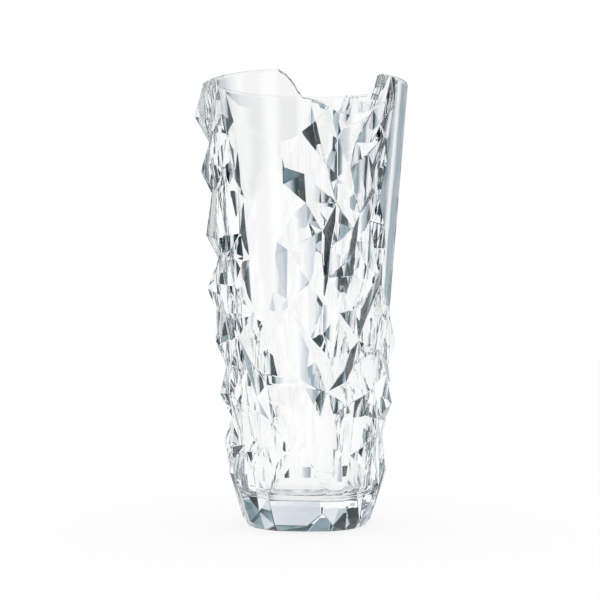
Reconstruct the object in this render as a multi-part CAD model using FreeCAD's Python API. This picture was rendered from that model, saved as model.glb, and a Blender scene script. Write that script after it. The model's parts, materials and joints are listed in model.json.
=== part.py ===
import FreeCAD, Part
import math
import os

# A tall tapered vase of clear crystal, pressed in one piece.  Smooth tapered panels
# stand between bands of broken-looking crags, and the rim is chipped at the front.
# Millimetres, +Z up, the table at Z = 0, the vase's axis on Z, its front facing -Y.

# ---- sizes that drive the vase ----
height = 280.0
foot_radius = 41.8            # smooth taper carried down to the table
rim_radius = 64.5             # smooth taper at the rim
rim_wall = 5.8                # glass thickness at the rim
heel_wall = 7.0               # glass thickness just above the floor
floor_thickness = 21.0        # solid glass under the inside floor
floor_corner = 7.0            # rounding where the inside floor meets the wall
rim_round = 1.9               # rounding of both edges of the rim
crag_relief = 6.0             # how far a full crag stands proud of the smooth taper
chip_depth = 26.5             # deepest point of the broken rim below the full height
chip_lean = 4.0               # how much lower the chip's outer edge lies than its inner edge

cutter_clear = 10.0           # how far the cutters run past the glass

# ---- where the smooth taper starts, as a share of the height ----
smooth_start = 0.14

# ---- the courses of the crags, from the rim down ----
# Each course is (percent of the height, relief at the left side, relief at the right side).
# Relief 10 is one full crag_relief proud of the smooth taper.  The reliefs at the two sides
# give the vase its outline from the front.
courses = [(99.5, 3, 3), (92.5, 14, 8), (87, 0, 8), (80, 12, 9), (75, 2, 6), (65.5, 12, 8),
           (60.3, 1, 7), (53.5, 15, 6), (48, 8, 8), (41.5, 11, 9), (36.5, 1, 3),
           (29.5, 11, 10), (24.5, 0, 6), (19, 10, 3), (12, 8, 10), (1.5, -3, -2),
           (0, -8, -8)]
side_turn = 86                # degrees from the front of the outline's own points
peak_relief = 13              # relief of every second point between the two sides
hollow_relief = 2             # relief of the points between them
least_relief = 1              # least relief of any of them, so that the taper stays covered
crag_count = 32               # points on a full course of crags
foot_courses = 3              # the lowest courses, which have the foot's own points
course_shift = 0.35           # how far every second course is turned, as a share of a step
turn_wander = 3.5             # degrees that a point strays from its even place
height_wander = 1.9           # percent of the height that a point strays from its course
relief_wander = 3             # tenths of crag_relief that a point strays
left_out = 0.75               # a point whose wander is over this is left out: a larger facet
most_lead = 8                 # degrees that one course may run ahead of the next
front_margin = 0.6            # room kept beside the front's own points, as a share of a step
front_reach = 9               # degrees within which a front point stands for a panel's point

# ---- the foot's corners, away from the front ----
# Each is (degrees from the front, percent and relief of its upper end, percent of its lower end).
foot_corners = [(-147, 12, 8, 1.5), (-122, 14.5, 4, 4.5), (-104, 11, 9, 1.5), (-90, 12, 8, 1.5),
                (-76, 15, 3, 5), (-60, 10.5, 10, 1.5), (-44, 14, 4, 4.5), (53, 13, 3, 1.5),
                (66, 9.5, 9, 4.5), (79, 14.5, 3, 1.5), (90, 12, 10, 1.5), (108, 14.5, 4, 5),
                (134, 10.5, 9, 1.5), (163, 12, 8, 1.5)]

# ---- the smooth panels, each as its two edges, as (percent of the height, degrees) ----
edge = -0.5                   # relief of a net point on a panel's edge, just under the taper
sunk = -5                     # relief of a net point that a panel covers
edge_margin = 6               # degrees beside a panel's edge that hold no other point
sunk_step = 20                # most degrees between the net points under a panel
panels = [
    ([(100, -57), (92, -55), (81, -43), (70, -40), (65, -45), (51, -40), (45, -39), (43, -34)],
     [(100, 3), (92, 2), (86, -3), (81, -14), (75, -14), (68, -9), (60, -21), (53, -23),
      (47, -28), (43, -33)]),
    ([(100, 58), (86, 55), (80, 52), (73, 50), (67, 55), (54, 61), (48, 78), (44, 82)],
     [(100, 116), (92, 114), (80, 112), (66, 108), (54, 97), (48, 86), (44, 83)]),
    ([(100, 159), (92, 157), (80, 160), (66, 156), (54, 160), (36, 158), (20, 160), (17, 186)],
     [(100, 246), (92, 236), (80, 232), (66, 230), (54, 228), (36, 228), (20, 216), (17, 187)]),
]

# ---- the large facets at the front, one line of points per course ----
# Each point is (degrees from the front, percent of the height, relief).
front_facets = [
    [(4, 99.5, edge), (12, 99.5, 6), (24, 99.5, 9), (38, 99.5, 9), (50, 99.5, 5),
     (58, 99.5, edge)],
    [(2, 93, edge), (11, 91.5, 9), (22, 90, 12), (36, 91.5, 9), (44, 89, 4), (50, 93, 12),
     (57, 92, edge)],
    [(-3, 86.5, edge), (4.5, 88.5, 11), (16, 85, 10), (28, 84.7, 3), (36, 84.5, 9),
     (43, 86, 12), (50, 86, 4), (55, 86, edge)],
    [(-14, 82, edge), (-11.5, 79, 11), (-1, 77.5, 13), (10, 80, 7), (16.5, 77, 10),
     (25, 79, 3), (33, 82, 12), (42, 79, 3), (48, 80.5, 10), (53, 80, edge)],
    [(-14, 75.5, edge), (0, 71.5, 2), (16.6, 71.5, 8), (29, 73.5, 3), (37, 75, 12),
     (44, 74, 2), (50, 73, edge)],
    [(-9, 69, edge), (8.5, 65.5, 13), (17, 67.5, 4), (26, 66, 11), (32, 69.5, 5), (41, 68, 2),
     (48, 67, 11), (55, 67, edge)],
    [(-21, 60, edge), (-11, 61.5, 6), (8.5, 61, 11), (15, 62, 1), (22, 59, 16),
     (31, 63, 4), (37, 58, 10), (46, 62, 2), (53, 62, 9), (59, 60, edge)],
    [(-23, 53, edge), (-12, 51, 5), (2, 54.5, 10), (10.5, 56, 6), (14, 55.5, 1), (30, 56, 2),
     (37, 55, 9), (45, 56.5, 13), (54, 54, 3), (61, 54, edge)],
    [(-28, 46.5, edge), (-20, 48, 3), (-11, 49.5, 6), (10, 50, 9),
     (21.5, 48, 2), (33, 49, 13), (42, 46.5, 3), (51, 48, 11)],
    [(-39, 43, 5), (-26, 40, 5), (-1, 42, 8), (3, 42.5, 1), (9.8, 43.5, 10),
     (18, 41, 3), (27, 40, 12), (37, 42, 2)],
    [(-29, 35, 10), (-1.5, 33, 4), (8, 36, 11), (16, 38, 3),
     (24, 36, 12), (34, 36.5, 1)],
    [(-36, 29.5, 4), (-27.5, 32.5, 5), (-1.5, 31.8, 4), (13, 31, 11),
     (28.5, 33, 3), (38, 30, 11)],
    [(-35, 26, 2), (-24, 24.5, 9), (-9.6, 22.7, 7), (9.5, 25.3, 5), (20, 26, 2),
     (26, 28, 12), (36, 25, 2)],
    [(-33, 18, 9), (-20, 15.8, 9), (-12, 18.5, 3), (-1.6, 19.3, 6), (17.8, 19, 8),
     (24, 17.5, 11), (34, 17, 3)],
    [(-28.5, 8, 9), (13, 8, 9), (27, 8, 8), (40, 8, 8)],
    [(-28.5, 1.5, -2), (1, 1.5, -5.7), (13, 4.5, 3), (24, 1.5, -3), (33, 5, 3),
     (41, 1.5, -3)],
    [(-28.5, 0, -8), (1, 0, -11.7), (24, 0, -8), (40, 0, -8)],
]

# ---- the broken rim, as (degrees from the front, share of chip_depth) ----
chip_edge = [(-20, -0.30), (-15, 0.07), (-9, 0.28), (-5, 0.55), (-2, 0.69), (2, 0.72),
             (9, 0.78), (17, 1.0), (20, 0.97), (24, 0.6), (30, 0.72), (37, 0.79),
             (41, 0.5), (46, 0.15), (50, -0.30)]


def taper_radius(z):
    """Radius of the smooth taper at a height."""
    return foot_radius + (rim_radius - foot_radius) * z / height


def point_at(degrees, radius, z):
    """A point counted in degrees round from the front (-Y), positive towards +X."""
    turn = math.radians(degrees)
    return FreeCAD.Vector(radius * math.sin(turn), -radius * math.cos(turn), z)


def crag_point(degrees, percent, relief):
    z = height * percent / 100.0
    return point_at(degrees, taper_radius(z) + crag_relief * relief / 10.0, z)


def triangle(first, second, third):
    return Part.Face(Part.makePolygon([first, second, third, first]))


def solid_of(faces):
    """Close a set of flat faces into one solid that encloses its material."""
    solid = Part.makeSolid(Part.makeShell(faces))
    if solid.Volume < 0:
        solid.reverse()
    return solid


def crag_band(lower, upper):
    """Flat triangles between two courses, each cut along the shorter diagonal.

    Where one course has run too far ahead of the other round the vase, the other catches up.
    """
    lower_points = [crag_point(*entry) for entry in lower]
    upper_points = [crag_point(*entry) for entry in upper]
    lower_turns = [entry[0] for entry in lower] + [lower[0][0] + 360]
    upper_turns = [entry[0] for entry in upper] + [upper[0][0] + 360]
    faces = []
    low = 0
    high = 0
    while low < len(lower) or high < len(upper):
        this_low = lower_points[low % len(lower)]
        this_high = upper_points[high % len(upper)]
        step_low = high == len(upper)
        if low < len(lower) and high < len(upper):
            lead = lower_turns[low + 1] - upper_turns[high + 1]
            next_low = lower_points[(low + 1) % len(lower)]
            next_high = upper_points[(high + 1) % len(upper)]
            step_low = lead <= 0
            if abs(lead) < most_lead:
                step_low = next_low.distanceToPoint(this_high) < next_high.distanceToPoint(this_low)
        if step_low:
            low = low + 1
            faces.append(triangle(this_low, lower_points[low % len(lower)], this_high))
        else:
            high = high + 1
            faces.append(triangle(this_low, upper_points[high % len(upper)], this_high))
    return faces


def wander(course, place, seed):
    """A repeatable uneven number from -1 to 1 for one point of the net."""
    mixed = math.sin(12.9898 * course + 78.233 * place + 37.719 * seed) * 43758.5453
    return 2 * (mixed % 1.0) - 1


def edge_at(edges, percent):
    """Degrees round from the front of a panel's edge at one percent of the height."""
    for upper, lower in zip(edges, edges[1:]):
        if percent >= lower[0]:
            share = (percent - lower[0]) / (upper[0] - lower[0])
            return lower[1] + share * (upper[1] - lower[1])
    return None


def panels_at(percent):
    """The two edges, in degrees, of each smooth panel that reaches down to a height."""
    found = []
    for left_edges, right_edges in panels:
        left = edge_at(left_edges, percent)
        right = edge_at(right_edges, percent)
        if left is not None and right is not None:
            found.append((left, right))
    return found


def between(degrees, start, end):
    return (degrees - start) % 360 < (end - start) % 360


def pattern_point(course, place, step):
    """One evenly placed point of a course, and whether it belongs to the outline.

    The others stray; near a side none of them reaches past the outline's own point.
    """
    percent, left_relief, right_relief = courses[course]
    degrees = -180.0 + step * (place + course_shift * (course % 2))
    turn = turn_wander * wander(course, place, 1)
    level = percent + height_wander * wander(course, place, 2)
    relief = peak_relief if (place + course) % 2 else hollow_relief
    relief = max(least_relief, relief + relief_wander * wander(course, place, 3))
    for side, side_relief in ((-side_turn, left_relief), (side_turn, right_relief)):
        if -step / 2 <= degrees - side < step / 2:
            return (side + turn, percent, side_relief), True
        behind = taper_radius(height * percent / 100.0)
        behind = behind * (1 - math.cos(math.radians(degrees - side)))
        relief = min(relief, side_relief + 10.0 * behind / crag_relief)
    if course == 0:
        return (degrees, percent, left_relief), False
    return (degrees + turn, level, relief), False


def foot_points(course):
    """The foot's corners on one of its courses, each on its corner's own straight edge."""
    percent, left_relief, right_relief = courses[course]
    low_percent = courses[-2][0]
    points = []
    for degrees, top, top_relief, bottom in foot_corners:
        relief = left_relief if degrees < 0 else right_relief
        if course == len(courses) - foot_courses:
            points.append((degrees, top, top_relief))
        elif percent == low_percent:
            share = (bottom - low_percent) / (top - low_percent)
            points.append((degrees, bottom, relief + share * (top_relief - relief)))
        else:
            points.append((degrees, percent, relief))
    return points


def course_points(course):
    """The points of one course: the pattern's or foot's, the front's own, and the panels'."""
    percent = courses[course][0]
    front = front_facets[course]
    if course >= len(courses) - foot_courses:
        return sorted(front + foot_points(course))
    step = 360.0 / crag_count
    front_room = front_margin * step
    smooth = panels_at(percent)
    points = list(front)
    for place in range(int(crag_count)):
        point, on_side = pattern_point(course, place, step)
        covered = between(point[0], front[0][0] - front_room, front[-1][0] + front_room)
        for left, right in smooth:
            covered = covered or between(point[0], left - edge_margin, right + edge_margin)
        whole = on_side or wander(course, place, 4) < left_out
        if whole and not covered:
            points.append(point)
    for left, right in smooth:
        steps = math.ceil((right - left) / sunk_step)
        for part in range(steps + 1):
            degrees = left + (right - left) * part / steps
            taken = any(abs(degrees - point[0]) < front_reach for point in front)
            if not taken:
                relief = edge if part in (0, steps) else sunk
                points.append(((degrees + 180) % 360 - 180, percent, relief))
    return sorted(points)


def crag_solid():
    """The whole net of crags as one closed solid with a flat top and a flat base."""
    rising = [course_points(course) for course in reversed(range(len(courses)))]
    faces = []
    for lower, upper in zip(rising, rising[1:]):
        faces.extend(crag_band(lower, upper))
    for course in (rising[0], rising[-1]):
        ring = [crag_point(*entry) for entry in course]
        faces.append(Part.Face(Part.makePolygon(ring + [ring[0]])))
    return solid_of(faces)


def turned(profile):
    """Turn a closed list of edges in the XZ plane once round the axis."""
    face = Part.Face(Part.Wire(profile))
    return face.revolve(FreeCAD.Vector(0, 0, 0), FreeCAD.Vector(0, 0, 1), 360)


def line(x1, z1, x2, z2):
    return Part.makeLine(FreeCAD.Vector(x1, 0, z1), FreeCAD.Vector(x2, 0, z2))


def bend(x1, z1, x2, z2, x3, z3):
    """An arc from the first point through the second to the third."""
    start = FreeCAD.Vector(x1, 0, z1)
    middle = FreeCAD.Vector(x2, 0, z2)
    end = FreeCAD.Vector(x3, 0, z3)
    return Part.Arc(start, middle, end).toShape()


def smooth_taper():
    """The smooth outside of the panels, with the outer edge of the rim rounded."""
    start_z = height * smooth_start
    turn_z = height - rim_round
    diagonal = rim_round * math.sqrt(0.5)
    edge_radius = taper_radius(turn_z)
    top_radius = edge_radius - rim_round
    profile = [
        line(0, start_z, taper_radius(start_z), start_z),
        line(taper_radius(start_z), start_z, edge_radius, turn_z),
        bend(edge_radius, turn_z, top_radius + diagonal, turn_z + diagonal, top_radius, height),
        line(top_radius, height, 0, height),
        line(0, height, 0, start_z),
    ]
    return turned(profile)


def inside_space():
    """The space for the flowers: flat floor, rounded corner, tapered wall, rounded lip."""
    floor_z = floor_thickness
    bore_rim = rim_radius - rim_wall
    bore_heel = taper_radius(floor_z) - heel_wall
    slope = (bore_rim - bore_heel) / (height - floor_z)
    diagonal = math.sqrt(0.5)
    corner_z = floor_z + floor_corner
    corner_x = bore_heel + slope * floor_corner
    lip_z = height - rim_round
    lip_x = bore_rim - slope * rim_round
    above = height + cutter_clear
    floor_x = corner_x - floor_corner
    corner_mid_x = floor_x + floor_corner * diagonal
    corner_mid_z = corner_z - floor_corner * diagonal
    lip_out_x = lip_x + rim_round
    lip_mid_x = lip_out_x - rim_round * diagonal
    lip_mid_z = lip_z + rim_round * diagonal
    profile = [
        line(0, floor_z, floor_x, floor_z),
        bend(floor_x, floor_z, corner_mid_x, corner_mid_z, corner_x, corner_z),
        line(corner_x, corner_z, lip_x, lip_z),
        bend(lip_x, lip_z, lip_mid_x, lip_mid_z, lip_out_x, height),
        line(lip_out_x, height, lip_out_x, above),
        line(lip_out_x, above, 0, above),
        line(0, above, 0, floor_z),
    ]
    return turned(profile)


def chip_cutter():
    """What is missing from the front of the rim: faces that lean outwards and down."""
    inner = rim_radius - rim_wall - cutter_clear
    outer = rim_radius + crag_relief + cutter_clear
    above = height + cutter_clear
    low_inner = []
    low_outer = []
    high_inner = []
    high_outer = []
    for degrees, share in chip_edge:
        z = height - chip_depth * share
        low_inner.append(point_at(degrees, inner, z + chip_lean))
        low_outer.append(point_at(degrees, outer, z - chip_lean))
        high_inner.append(point_at(degrees, inner, above))
        high_outer.append(point_at(degrees, outer, above))
    faces = []
    for one in range(len(chip_edge) - 1):
        two = one + 1
        for left, right in ((low_inner, low_outer), (low_outer, high_outer),
                            (high_outer, high_inner), (high_inner, low_inner)):
            faces.append(triangle(left[one], left[two], right[two]))
            faces.append(triangle(left[one], right[two], right[one]))
    for end in (0, -1):
        corners = [low_inner[end], low_outer[end], high_outer[end], high_inner[end]]
        faces.append(Part.Face(Part.makePolygon(corners + [corners[0]])))
    return solid_of(faces)


def crystal_vase():
    vase = crag_solid().fuse(smooth_taper())
    vase = vase.cut(inside_space())
    vase = vase.cut(chip_cutter())
    if len(vase.Solids) != 1:
        raise ValueError("the vase must be one solid, got %d" % len(vase.Solids))
    return vase.Solids[0]


os.makedirs("parts", exist_ok=True)
vase = crystal_vase()
vase.exportStep("parts/crystal_vase.step")
bounds = vase.BoundBox
print("crystal_vase: %d faces, volume %.0f cubic mm, valid %s"
      % (len(vase.Faces), vase.Volume, vase.isValid()))
print("x %.1f to %.1f, y %.1f to %.1f, z %.1f to %.1f"
      % (bounds.XMin, bounds.XMax, bounds.YMin, bounds.YMax, bounds.ZMin, bounds.ZMax))
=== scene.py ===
import json
import math

import bmesh
import bpy
import numpy as np
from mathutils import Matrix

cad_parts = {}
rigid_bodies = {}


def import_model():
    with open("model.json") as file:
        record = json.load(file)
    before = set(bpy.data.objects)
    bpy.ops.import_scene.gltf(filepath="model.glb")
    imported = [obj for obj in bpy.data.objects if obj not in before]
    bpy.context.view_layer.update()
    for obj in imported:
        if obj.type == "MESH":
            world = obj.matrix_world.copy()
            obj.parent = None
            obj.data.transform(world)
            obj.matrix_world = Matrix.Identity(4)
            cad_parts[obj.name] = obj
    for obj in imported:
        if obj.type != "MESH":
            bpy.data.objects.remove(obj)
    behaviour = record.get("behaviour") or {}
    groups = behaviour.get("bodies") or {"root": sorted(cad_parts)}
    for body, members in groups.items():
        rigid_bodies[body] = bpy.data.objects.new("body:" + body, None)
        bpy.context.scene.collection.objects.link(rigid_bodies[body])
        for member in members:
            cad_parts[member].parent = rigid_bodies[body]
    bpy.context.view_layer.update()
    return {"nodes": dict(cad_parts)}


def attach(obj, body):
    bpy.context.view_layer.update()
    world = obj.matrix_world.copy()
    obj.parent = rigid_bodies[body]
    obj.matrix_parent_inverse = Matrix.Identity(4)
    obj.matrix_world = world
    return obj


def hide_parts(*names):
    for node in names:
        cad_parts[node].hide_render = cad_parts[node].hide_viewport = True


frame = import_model()
print("frame loaded:", len(frame["nodes"]), "node")


# the glass body; lengths in metres, turns in radians
glassBody = {
    "mergeDistance": 0.000001,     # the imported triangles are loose, so their corners are joined
    "onWall": 0.00002,             # a corner this near to a turned wall lies on it
    "flatSeam": 0.0005,            # triangles that turn less than this are one facet
    "sharpEdge": 0.12,             # facets that turn more than this meet in an edge
    "edgeWidth": 0.0003,           # how far the polish reaches from such an edge on each side
    "sameSide": 0.8,               # least cosine between a face and the wall that it lies on
    "leastRadius": 0.000000001,    # a corner nearer to the axis counts as this far from it
    # the turned walls
    "height": 0.28,
    "footRadius": 0.0418,          # the outside taper, at the table and at the rim
    "rimRadius": 0.0645,
    "heelWall": 0.007,             # thickness of the glass just above the inside floor
    "rimWall": 0.0058,             # and at the rim
    "floorThickness": 0.021,       # under the inside floor
    "floorCorner": 0.007,          # round where the inside floor meets the wall
    "rimRound": 0.0019,            # round of both edges of the rim
}


# radius = lower radius + (upper - lower radius) x share of the way up
def radiusOn(taper, height):
    low, lowHeight, high, highHeight, _ = taper
    return low + (high - low) * (height - lowHeight) / (highHeight - lowHeight)


# the straight tapers outside and inside: lower radius, lower height, upper radius, upper
# height, facing (1 away from the axis, -1 towards it)
def straightTapers():
    floor, height = glassBody["floorThickness"], glassBody["height"]
    outside = (glassBody["footRadius"], 0.0, glassBody["rimRadius"], height, 1)
    inside = (radiusOn(outside, floor) - glassBody["heelWall"], floor,
              glassBody["rimRadius"] - glassBody["rimWall"], height, -1)
    return outside, inside


# the rounds inside the foot and at both edges of the rim: radius of the centre, its height,
# size, facing. Each centre lies its own size away from the taper that the round leads into
def wallRounds():
    outside, inside = straightTapers()
    corner, lip = glassBody["floorCorner"], glassBody["rimRound"]
    cornerHeight, lipHeight = glassBody["floorThickness"] + corner, glassBody["height"] - lip
    return [(radiusOn(inside, cornerHeight) - corner, cornerHeight, corner, -1),
            (radiusOn(outside, lipHeight) - lip, lipHeight, lip, 1),
            (radiusOn(inside, lipHeight) + lip, lipHeight, lip, 1)]


# each turned wall in turn, as (how far a point is off it, its direction along the radius, its
# direction along the height). Taper: offset = radius - the taper's radius at that height,
# direction (1, -slope). Round: offset = distance from the centre - size, direction = the way
# from the centre / size. Both are turned over where the wall faces the axis
def turnedWalls(radius, height):
    for taper in straightTapers():
        low, lowHeight, high, highHeight, facing = taper
        slope = (high - low) / (highHeight - lowHeight)
        ones = np.full_like(radius, facing)
        yield radius - radiusOn(taper, height), ones, -slope * ones
    for centre, centreHeight, size, facing in wallRounds():
        out, up = radius - centre, height - centreHeight
        yield np.hypot(out, up) - size, facing * out / size, facing * up / size


# flat facets keep their own normal; a face with all its corners on a turned wall gets the
# wall's direction at each corner, made one long, wherever that agrees with the face
def wallNormals(corners, flat):
    radius = np.hypot(corners[..., 0], corners[..., 1])
    across = corners[..., :2] / np.maximum(radius, glassBody["leastRadius"])[..., None]
    normals = np.repeat(flat[:, None, :], 3, axis=1)
    for offset, outward, upward in turnedWalls(radius, corners[..., 2]):
        onWall = np.all(np.abs(offset) < glassBody["onWall"], axis=1)
        wall = np.concatenate([across * outward[..., None], upward[..., None]], axis=-1)
        wall /= np.linalg.norm(wall, axis=-1, keepdims=True)
        agrees = np.einsum("fck,fk->fc", wall, flat).min(axis=1) > glassBody["sameSide"]
        normals[onWall & agrees] = wall[onWall & agrees]
    return normals


# one number for a triangle from the numbers of its corners, where total is all the corners
def cornerNumber(face, total):
    low, middle, high = sorted(vert.index for vert in face.verts)
    return (low * total + middle) * total + high


# the triangles of one flat facet become one face, then each sharp edge between two facets
# becomes a narrow flat strip whose sides are edgeWidth from the edge; edges that touch a
# turned wall stay as they are, so the rim and the inside keep their rounds
def polishEdges(work):
    work.normal_update()
    seams = [edge for edge in work.edges if edge.calc_face_angle(1) < glassBody["flatSeam"]]
    bmesh.ops.dissolve_edges(work, edges=seams, use_verts=True)
    work.normal_update()
    work.verts.index_update()
    points = np.array([vert.co for vert in work.verts])
    offWall = np.ones(len(points), dtype=bool)
    for offset, _, _ in turnedWalls(np.hypot(points[:, 0], points[:, 1]), points[:, 2]):
        offWall &= np.abs(offset) > glassBody["onWall"]
    sharp = [edge for edge in work.edges if edge.calc_face_angle(0) > glassBody["sharpEdge"]
             and offWall[edge.verts[0].index] and offWall[edge.verts[1].index]]
    bmesh.ops.bevel(work, geom=sharp, offset=glassBody["edgeWidth"], offset_type="OFFSET",
                    segments=1, profile=0.5, affect="EDGES", clamp_overlap=False)
    bmesh.ops.triangulate(work, faces=work.faces)
    # triangulate leaves them in another order each time, and every run is to give the same mesh
    work.verts.index_update()
    total = len(work.verts)
    work.faces.sort(key=lambda face: cornerNumber(face, total))
    print("polished edges:", len(sharp))


# the whole vase is one piece of glass: the solid's own surface, joined, polished at its edges
# and given true normals on its turned walls
def crystalBody(node):
    mesh = frame["nodes"][node].data.copy()
    mesh.materials.clear()
    work = bmesh.new()
    work.from_mesh(mesh)
    bmesh.ops.remove_doubles(work, verts=work.verts, dist=glassBody["mergeDistance"])
    polishEdges(work)
    work.to_mesh(mesh)
    work.free()
    body = bpy.data.objects.new("crystal_body", mesh)
    bpy.context.scene.collection.objects.link(body)
    mesh.shade_smooth()
    points = np.empty(len(mesh.vertices) * 3)
    mesh.vertices.foreach_get("co", points)
    order = np.empty(len(mesh.loops), dtype=np.int64)
    mesh.loops.foreach_get("vertex_index", order)
    flat = np.empty(len(mesh.polygons) * 3)
    mesh.polygons.foreach_get("normal", flat)
    corners = points.reshape(-1, 3)[order].reshape(-1, 3, 3)
    normals = wallNormals(corners, flat.reshape(-1, 3))
    mesh.normals_split_custom_set(normals.reshape(-1, 3))
    mesh.materials.append(crystalMaterial())
    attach(body, "root")
    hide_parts(node)
    print("crystal body:", len(mesh.polygons), "faces")
    return body


# small helpers for node trees
def mathNode(nodes, links, operation, first, second=None, third=None):
    node = nodes.new("ShaderNodeMath")
    node.operation = operation
    for socket, value in zip(node.inputs, (first, second, third)):
        if isinstance(value, bpy.types.NodeSocket):
            links.new(value, socket)
        elif value is not None:
            socket.default_value = value
    return node.outputs["Value"]


# stops are (place from 0 to 1, grey level or colour)
def rampNode(nodes, links, value, stops):
    node = nodes.new("ShaderNodeValToRGB")
    links.new(value, node.inputs["Fac"])
    ramp = node.color_ramp
    while len(ramp.elements) < len(stops):
        ramp.elements.new(0.5)      # placed just below
    for element, (place, tone) in zip(ramp.elements, stops):
        element.position = place
        element.color = (*(tone if isinstance(tone, tuple) else (tone,) * 3), 1.0)
    return node.outputs["Color"]


# the crystal
crystalLook = {
    "tint": (1.0, 1.0, 1.0, 1.0),
    "ior": 1.53,
    "absorbColour": (0.42, 0.80, 0.84, 1.0),    # what thick glass turns to
    "absorbDensity": 0.55,                      # per metre of glass
    "waveScale": 46.0,        # waves left by the mould, per metre
    "waveHeight": 0.00010,    # their height in metres
    "waveDetail": 1.0,        # one finer layer of waves upon the first
    "footWear": 0.30,         # roughness of the ring that the vase stands on
    "footWearTop": 0.0012,    # how far up that wear reaches, in metres
    "wearScale": 900.0,       # its scratches, per metre
}


# clear glass. Normal: rocked by slow noise, waveHeight x noise(waveScale x place). Roughness:
# 0, but on the foot (1 below footWearTop, 0 above it) x noise(wearScale x place) x footWear.
# Inside, light fades with exp(-density x (1 - colour) x length)
def crystalMaterial():
    material = bpy.data.materials.new("clearCrystal")
    material.use_nodes = True
    nodes, links = material.node_tree.nodes, material.node_tree.links
    shader = nodes["Principled BSDF"]
    shader.inputs["Base Color"].default_value = crystalLook["tint"]
    shader.inputs["IOR"].default_value = crystalLook["ior"]
    shader.inputs["Transmission Weight"].default_value = 1.0
    place = nodes.new("ShaderNodeTexCoord").outputs["Object"]
    waves = nodes.new("ShaderNodeTexNoise")
    waves.inputs["Scale"].default_value = crystalLook["waveScale"]
    waves.inputs["Detail"].default_value = crystalLook["waveDetail"]
    links.new(place, waves.inputs["Vector"])
    bump = nodes.new("ShaderNodeBump")
    bump.inputs["Strength"].default_value = 1.0
    bump.inputs["Distance"].default_value = crystalLook["waveHeight"]
    links.new(waves.outputs["Fac"], bump.inputs["Height"])
    links.new(bump.outputs["Normal"], shader.inputs["Normal"])
    split = nodes.new("ShaderNodeSeparateXYZ")
    links.new(place, split.inputs["Vector"])
    low = mathNode(nodes, links, "LESS_THAN", split.outputs["Z"], crystalLook["footWearTop"])
    scratches = nodes.new("ShaderNodeTexNoise")
    scratches.inputs["Scale"].default_value = crystalLook["wearScale"]
    links.new(place, scratches.inputs["Vector"])
    worn = mathNode(nodes, links, "MULTIPLY", scratches.outputs["Fac"], crystalLook["footWear"])
    links.new(mathNode(nodes, links, "MULTIPLY", low, worn), shader.inputs["Roughness"])
    absorb = nodes.new("ShaderNodeVolumeAbsorption")
    absorb.inputs["Color"].default_value = crystalLook["absorbColour"]
    absorb.inputs["Density"].default_value = crystalLook["absorbDensity"]
    links.new(absorb.outputs["Volume"], nodes["Material Output"].inputs["Volume"])
    print("material:", material.name)
    return material


# the studio: a white room on a plain pale floor. That is what the camera sees; glass alone
# sees a ring of tall soft boxes with dark gaps, and a screen, in place of the white room. So
# most of the tones in the glass come from here, and other light will show other tones
studioLight = {
    "strips": 8,      # soft boxes round the vase, each with a narrow dark gap beside it
    # brightness by the angle from the middle of the nearest soft box, in degrees
    "round": [(0, 1.0), (4.8, 1.0), (6, 0.9), (8, 0.82), (10.2, 0.72), (11.6, 0.4),
              (12.6, 0.08), (13.6, 0.0), (22.5, 0.0)],
    # a low screen behind the vase, white in its middle and grey to the right: brightness by
    # the angle from the back (+Y) towards +X, and how high it reaches, in degrees
    "screen": [(-180, 0.0), (-16, 0.0), (-14, 0.95), (-9, 1.0), (5, 1.0), (8, 0.84), (13, 0.62),
               (20, 0.44), (31, 0.4), (38, 0.54), (42, 0.45), (43, 0.0), (180, 0.0)],
    "screenTop": 7,
    # brightness by the angle above the level, in degrees
    "above": [(-90, 1.0), (10, 1.0), (15, 0.97), (18.5, 0.84), (20, 0.03), (22.5, 0.03),
              (24.5, 0.6), (28, 0.7), (30, 0.03), (36, 0.03), (38, 0.6), (40, 0.9), (47, 0.9),
              (50, 0.03), (57, 0.03), (59, 0.8), (72, 0.85), (90, 0.8)],
    # the colour of the light for each brightness
    "colours": [(0.0, (0.006, 0.021, 0.026)), (0.15, (0.060, 0.130, 0.155)),
                (0.35, (0.215, 0.325, 0.375)), (0.6, (0.51, 0.575, 0.635)),
                (0.82, (0.75, 0.775, 0.83)), (0.95, (1.0, 1.0, 1.0))],
    "mirrorShare": 0.6,     # how much of it the glass mirrors on its outside
    "fill": 0.8,            # plain light on everything that isn't glass
    "floorSize": 6.0,       # metres
    "floorDrop": 0.0004,    # gap under the vase's foot, in metres
    "floorGlow": 0.80,      # the floor is white to everything: glow + shade x fill is 1
    "floorShade": 0.25,     # x fill is the part of it that the vase's shadow can take away
}


def backgroundNode(nodes, strength=1.0):
    node = nodes.new("ShaderNodeBackground")
    node.inputs["Color"].default_value = (1, 1, 1, 1)
    node.inputs["Strength"].default_value = strength
    return node


# the first shader where the share is 0, the second where it is 1
def mixedShader(nodes, links, share, first, second):
    node = nodes.new("ShaderNodeMixShader")
    links.new(share, node.inputs["Fac"])
    links.new(first, node.inputs[1])
    links.new(second, node.inputs[2])
    return node.outputs["Shader"]


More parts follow.
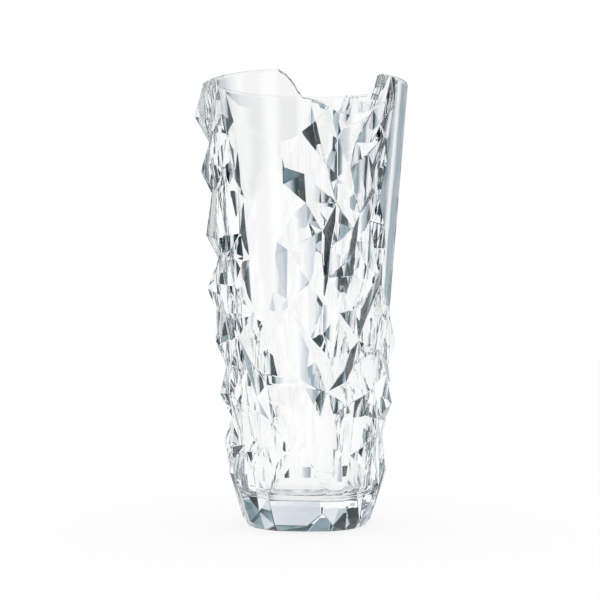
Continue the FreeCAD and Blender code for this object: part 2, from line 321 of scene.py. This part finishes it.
# glass sees the greater of round(near) and screen(turn), x above(rise), toned by colours; turn
# = angle about the axis, near = the share of the way from the nearest soft box to the gap,
# |fraction(turn x strips / full turn + 0.5) - 0.5| x 2, and rise = asin(z). The camera sees
# white, and everything else gets the plain fill
def studioWorld():
    world = bpy.data.worlds.new("studioWorld")
    bpy.context.scene.world = world
    world.use_nodes = True
    nodes, links = world.node_tree.nodes, world.node_tree.links
    nodes.clear()
    path = nodes.new("ShaderNodeLightPath")
    split = nodes.new("ShaderNodeSeparateXYZ")
    links.new(nodes.new("ShaderNodeTexCoord").outputs["Generated"], split.inputs["Vector"])
    turn = mathNode(nodes, links, "ARCTAN2", split.outputs["X"], split.outputs["Y"])
    turns = mathNode(nodes, links, "MULTIPLY_ADD", turn,
                     studioLight["strips"] / (2 * math.pi), 0.5)
    away = mathNode(nodes, links, "SUBTRACT", mathNode(nodes, links, "FRACT", turns), 0.5)
    nearShare = mathNode(nodes, links, "MULTIPLY",
                         mathNode(nodes, links, "ABSOLUTE", away), 2.0)
    turnShare = mathNode(nodes, links, "MULTIPLY_ADD", turn, 1 / (2 * math.pi), 0.5)
    rise = mathNode(nodes, links, "ARCSINE", split.outputs["Z"])
    riseShare = mathNode(nodes, links, "MULTIPLY_ADD", rise, 1 / math.pi, 0.5)
    halfStrip = 180 / studioLight["strips"]
    roundLight = rampNode(nodes, links, nearShare,
                          [(angle / halfStrip, level) for angle, level in studioLight["round"]])
    screenLight = rampNode(nodes, links, turnShare,
                           [(angle / 360 + 0.5, level) for angle, level in studioLight["screen"]])
    underTop = mathNode(nodes, links, "LESS_THAN", riseShare,
                        (studioLight["screenTop"] + 90) / 180)
    ringLight = mathNode(nodes, links, "MAXIMUM", roundLight,
                         mathNode(nodes, links, "MULTIPLY", screenLight, underTop))
    aboveLight = rampNode(nodes, links, riseShare,
                          [((angle + 90) / 180, level) for angle, level in studioLight["above"]])
    level = mathNode(nodes, links, "MULTIPLY", ringLight, aboveLight)
    seen = backgroundNode(nodes)
    links.new(rampNode(nodes, links, level, studioLight["colours"]), seen.inputs["Color"])
    links.new(mathNode(nodes, links, "MAXIMUM", path.outputs["Is Transmission Ray"],
                       studioLight["mirrorShare"]), seen.inputs["Strength"])
    glassRay = mathNode(nodes, links, "MAXIMUM", path.outputs["Is Glossy Ray"],
                        path.outputs["Is Transmission Ray"])
    plain = backgroundNode(nodes, studioLight["fill"]).outputs["Background"]
    unseen = mixedShader(nodes, links, glassRay, plain, seen.outputs["Background"])
    whole = mixedShader(nodes, links, path.outputs["Is Camera Ray"], unseen,
                        backgroundNode(nodes).outputs["Background"])
    links.new(whole, nodes.new("ShaderNodeOutputWorld").inputs["Surface"])
    print("studio light:", studioLight["strips"], "soft boxes")


# one square just under the foot, the same to the camera, to glass and to every other ray:
# its own glow + plain diffuse, so that the shadow still shows
def studioFloor():
    half, height = studioLight["floorSize"] / 2, -studioLight["floorDrop"]
    signs = np.array([(-1, -1), (1, -1), (1, 1), (-1, 1)])
    corners = np.column_stack([signs * half, np.full(4, height)])
    mesh = bpy.data.meshes.new("studio_floor")
    mesh.from_pydata(corners.tolist(), [], [(0, 1, 2, 3)])
    floor = bpy.data.objects.new("studio_floor", mesh)
    bpy.context.scene.collection.objects.link(floor)
    material = bpy.data.materials.new("paleFloor")
    material.use_nodes = True
    nodes, links = material.node_tree.nodes, material.node_tree.links
    nodes.remove(nodes["Principled BSDF"])
    shade = nodes.new("ShaderNodeBsdfDiffuse")
    tone = studioLight["floorShade"]
    shade.inputs["Color"].default_value = (tone, tone, tone, 1)
    glow = nodes.new("ShaderNodeEmission")
    glow.inputs["Strength"].default_value = studioLight["floorGlow"]
    pale = nodes.new("ShaderNodeAddShader")
    links.new(shade.outputs["BSDF"], pale.inputs[0])
    links.new(glow.outputs["Emission"], pale.inputs[1])
    links.new(pale.outputs["Shader"], nodes["Material Output"].inputs["Surface"])
    mesh.materials.append(material)
    print("floor:", studioLight["floorSize"], "m square")


# the camera: level, a little below the middle of the vase
cameraSet = {
    "distance": 0.955,        # metres from the vase's axis
    "height": 0.138,
    "lens": 90.0,             # millimetres
    "shiftX": -0.0108,        # framing, in shares of the picture's width
    "shiftY": 0.0117,
}


def studioCamera():
    camera = bpy.data.objects.new("camera", bpy.data.cameras.new("camera"))
    camera.data.lens = cameraSet["lens"]
    camera.location = (0, -cameraSet["distance"], cameraSet["height"])
    camera.rotation_euler = (math.pi / 2, 0, 0)
    camera.data.shift_x = cameraSet["shiftX"]
    camera.data.shift_y = cameraSet["shiftY"]
    bpy.context.scene.collection.objects.link(camera)
    bpy.context.scene.camera = camera
    print("camera:", cameraSet["distance"], "m away")


# light has to pass many walls of glass, so its path may be long
pathSteps = {
    "longest": 24,
    "mirrored": 16,
}


def lightPaths(scene):
    scene.view_settings.view_transform = "Standard"
    scene.cycles.use_denoising = True
    scene.cycles.max_bounces = pathSteps["longest"]
    scene.cycles.transmission_bounces = pathSteps["longest"]
    scene.cycles.glossy_bounces = pathSteps["mirrored"]
    scene.cycles.caustics_refractive = True
    scene.cycles.caustics_reflective = True
    print("light paths set")


lightPaths(bpy.context.scene)
studioCamera()
crystalBody("crystal_vase")
studioWorld()
studioFloor()
